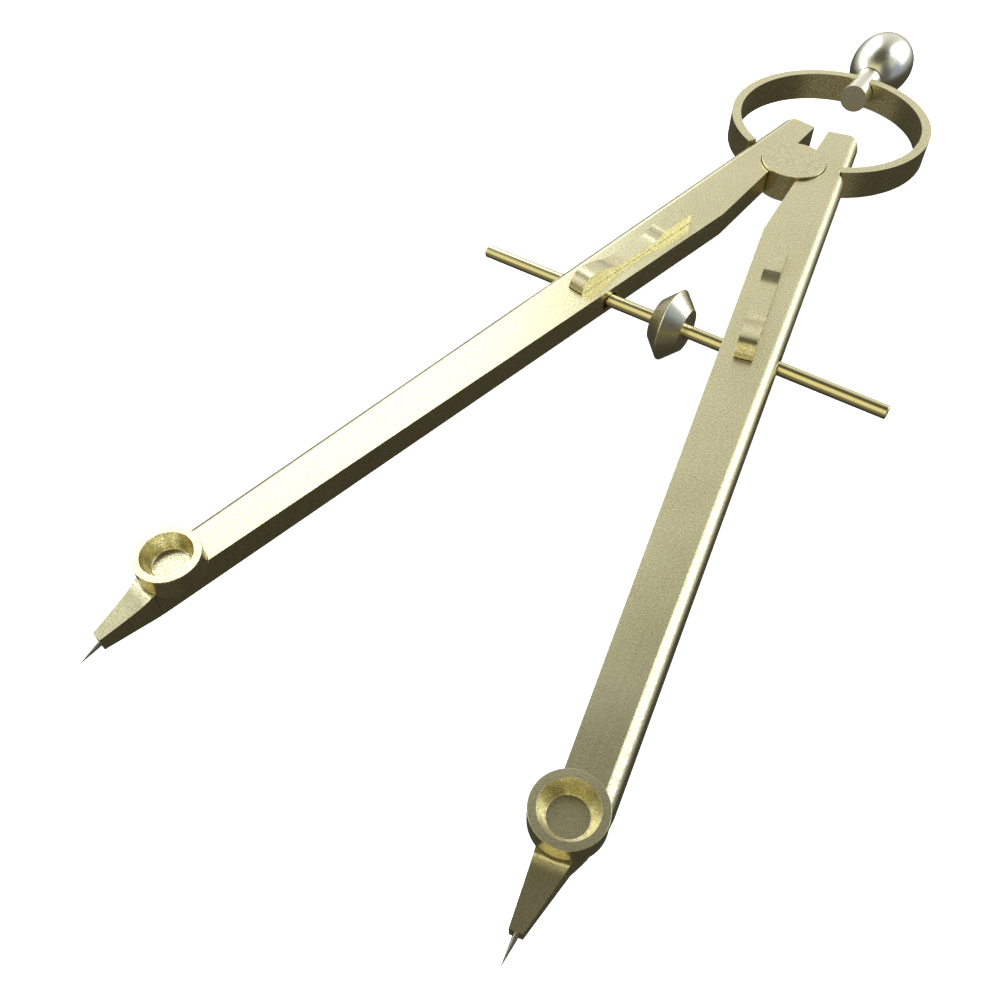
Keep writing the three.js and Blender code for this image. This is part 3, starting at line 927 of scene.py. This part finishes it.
makeSpindle()
makeWheel()
for side in (-1, 1):
    makeNut(side)
print("spindle, wheel and nuts made")


studio = {
    "floorSize": 3.0, "floorTone": 0.95, "floorGlow": 0.85,
    # tones of the room by elevation above the horizon in degrees
    "room": [
        (-90, (0.05, 0.045, 0.035)), (-14, (0.07, 0.065, 0.05)), (0, (0.50, 0.50, 0.50)),
        (16, (1.0, 1.0, 1.0)), (30, (0.84, 0.86, 0.88)), (44, (0.68, 0.69, 0.68)),
        (54, (0.50, 0.51, 0.45)), (61, (0.26, 0.26, 0.21)), (68, (0.08, 0.07, 0.045)),
    ],
    # soft panels: middle and half width around the room, lowest and highest elevation, softness, colour
    "panels": [
        {"turn": -95, "half": 65, "low": -38, "high": 12, "soft": 20, "colour": (0.21, 0.195, 0.155)},
        {"turn": -90, "half": 40, "low": 6, "high": 62, "soft": 14, "colour": (0.92, 0.88, 0.60)},
        {"turn": 15, "half": 26, "low": -4, "high": 30, "soft": 12, "colour": (0.34, 0.42, 0.56)},
        {"turn": -25, "half": 22, "low": -10, "high": 60, "soft": 12, "colour": (0.12, 0.12, 0.12)},
        {"turn": 190, "half": 24, "low": 14, "high": 38, "soft": 8, "colour": (2.4, 2.6, 3.0)},
        {"turn": 146, "half": 26, "low": 14, "high": 55, "soft": 5, "colour": (2.6, 2.8, 3.2)},
        {"turn": 53, "half": 22, "low": 10, "high": 60, "soft": 6, "colour": (2.3, 2.5, 3.0)},
    ],
}


def makeFloor():
    bm = bmesh.new()
    bmesh.ops.create_grid(bm, x_segments=1, y_segments=1, size=studio["floorSize"])
    floor = objectFrom("floor", bm)
    floor.location.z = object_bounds()[0].z - 0.0002
    material = bpy.data.materials.new("paleFloor")
    material.use_nodes = True
    make = Maker(material.node_tree)
    tone = studio["floorTone"]
    shader = make.node("ShaderNodeBsdfPrincipled", None, {
        "Base Color": (tone, tone, tone, 1), "Roughness": 0.9, "Emission Color": (1, 1, 1, 1),
        "Emission Strength": studio["floorGlow"],
    })
    make.node("ShaderNodeOutputMaterial", None, {"Surface": shader})
    floor.data.materials.append(material)
    floor.visible_glossy = False


def eased(make, value, start, end):
    # 0 at start, 1 at end, whichever of the two is larger
    settings = {"clamp": True, "interpolation_type": "SMOOTHSTEP"}
    return make.node("ShaderNodeMapRange", settings, {0: value, 1: start, 2: end})


def makeSky():
    # white to look at; in reflections a room with a grey wall, soft panels and darkness below the horizon
    world = bpy.data.worlds.new("studio")
    bpy.context.scene.world = world
    world.use_nodes = True
    make = Maker(world.node_tree)
    way = make.node("ShaderNodeTexCoord", None, None, 0)
    parts = [make.node("ShaderNodeSeparateXYZ", None, [way], k) for k in range(3)]
    rise = parts[2].math("ARCSINE") * (180 / math.pi)
    across = (parts[0] * parts[0] + parts[1] * parts[1]).math("SQRT").math("MAXIMUM", 0.001)
    level = make.node("ShaderNodeMapRange", {"clamp": True}, {0: rise, 1: -90.0, 2: 90.0})
    stops = [((angle + 90) / 180, colour) for angle, colour in studio["room"]]
    room = make.node("ShaderNodeValToRGB", {"stops": stops}, [level])
    for panel in studio["panels"]:
        turn, soft = math.radians(panel["turn"]), panel["soft"]
        facing = (parts[0] * math.cos(turn) + parts[1] * math.sin(turn)) / across
        away = facing.math("MINIMUM", 1.0).math("ARCCOSINE") * (180 / math.pi)
        share = eased(make, away, panel["half"] + soft / 2, panel["half"] - soft / 2)
        share = share * eased(make, rise, panel["low"] - soft / 2, panel["low"] + soft / 2)
        share = share * eased(make, rise, panel["high"] + soft / 2, panel["high"] - soft / 2)
        room = make.mixed(share, room, (*panel["colour"], 1))
    seen = make.node("ShaderNodeLightPath", None, None, 0)
    colour = make.mixed(seen, room, (1.0, 1.0, 1.0, 1))
    background = make.node("ShaderNodeBackground", None, {"Color": colour, "Strength": 1.0})
    make.node("ShaderNodeOutputWorld", None, {"Surface": background})


keyBox = {"place": (-0.46, 0.24, 0.50), "size": (0.42, 0.64), "power": 2.0}


def makeKeyBox():
    # a softbox that faces the origin; it lights surfaces and isn't itself seen or mirrored
    data = bpy.data.lights.new("keyBox", "AREA")
    data.shape = "RECTANGLE"
    data.size, data.size_y = keyBox["size"]
    data.energy = keyBox["power"]
    light = bpy.data.objects.new("keyBox", data)
    bpy.context.scene.collection.objects.link(light)
    light.location = keyBox["place"]
    light.rotation_euler = (-light.location).to_track_quat("-Z", "Y").to_euler()
    light.visible_camera = False
    light.visible_glossy = False


makeFloor()
makeSky()
makeKeyBox()
print("studio made")

camera = {"place": (0.037825, -0.136777, 0.087896), "turn": (38.902, 0.593, 33.803), "lens": 34.7176}
cameraData = bpy.data.cameras.new("camera")
cameraData.lens = camera["lens"]
cameraData.sensor_width = 36
cameraData.clip_start = 0.005
cameraData.clip_end = 20
cameraObject = bpy.data.objects.new("camera", cameraData)
bpy.context.scene.collection.objects.link(cameraObject)
cameraObject.location = camera["place"]
cameraObject.rotation_euler = [math.radians(angle) for angle in camera["turn"]]
bpy.context.scene.camera = cameraObject
bpy.context.scene.view_settings.view_transform = "Standard"
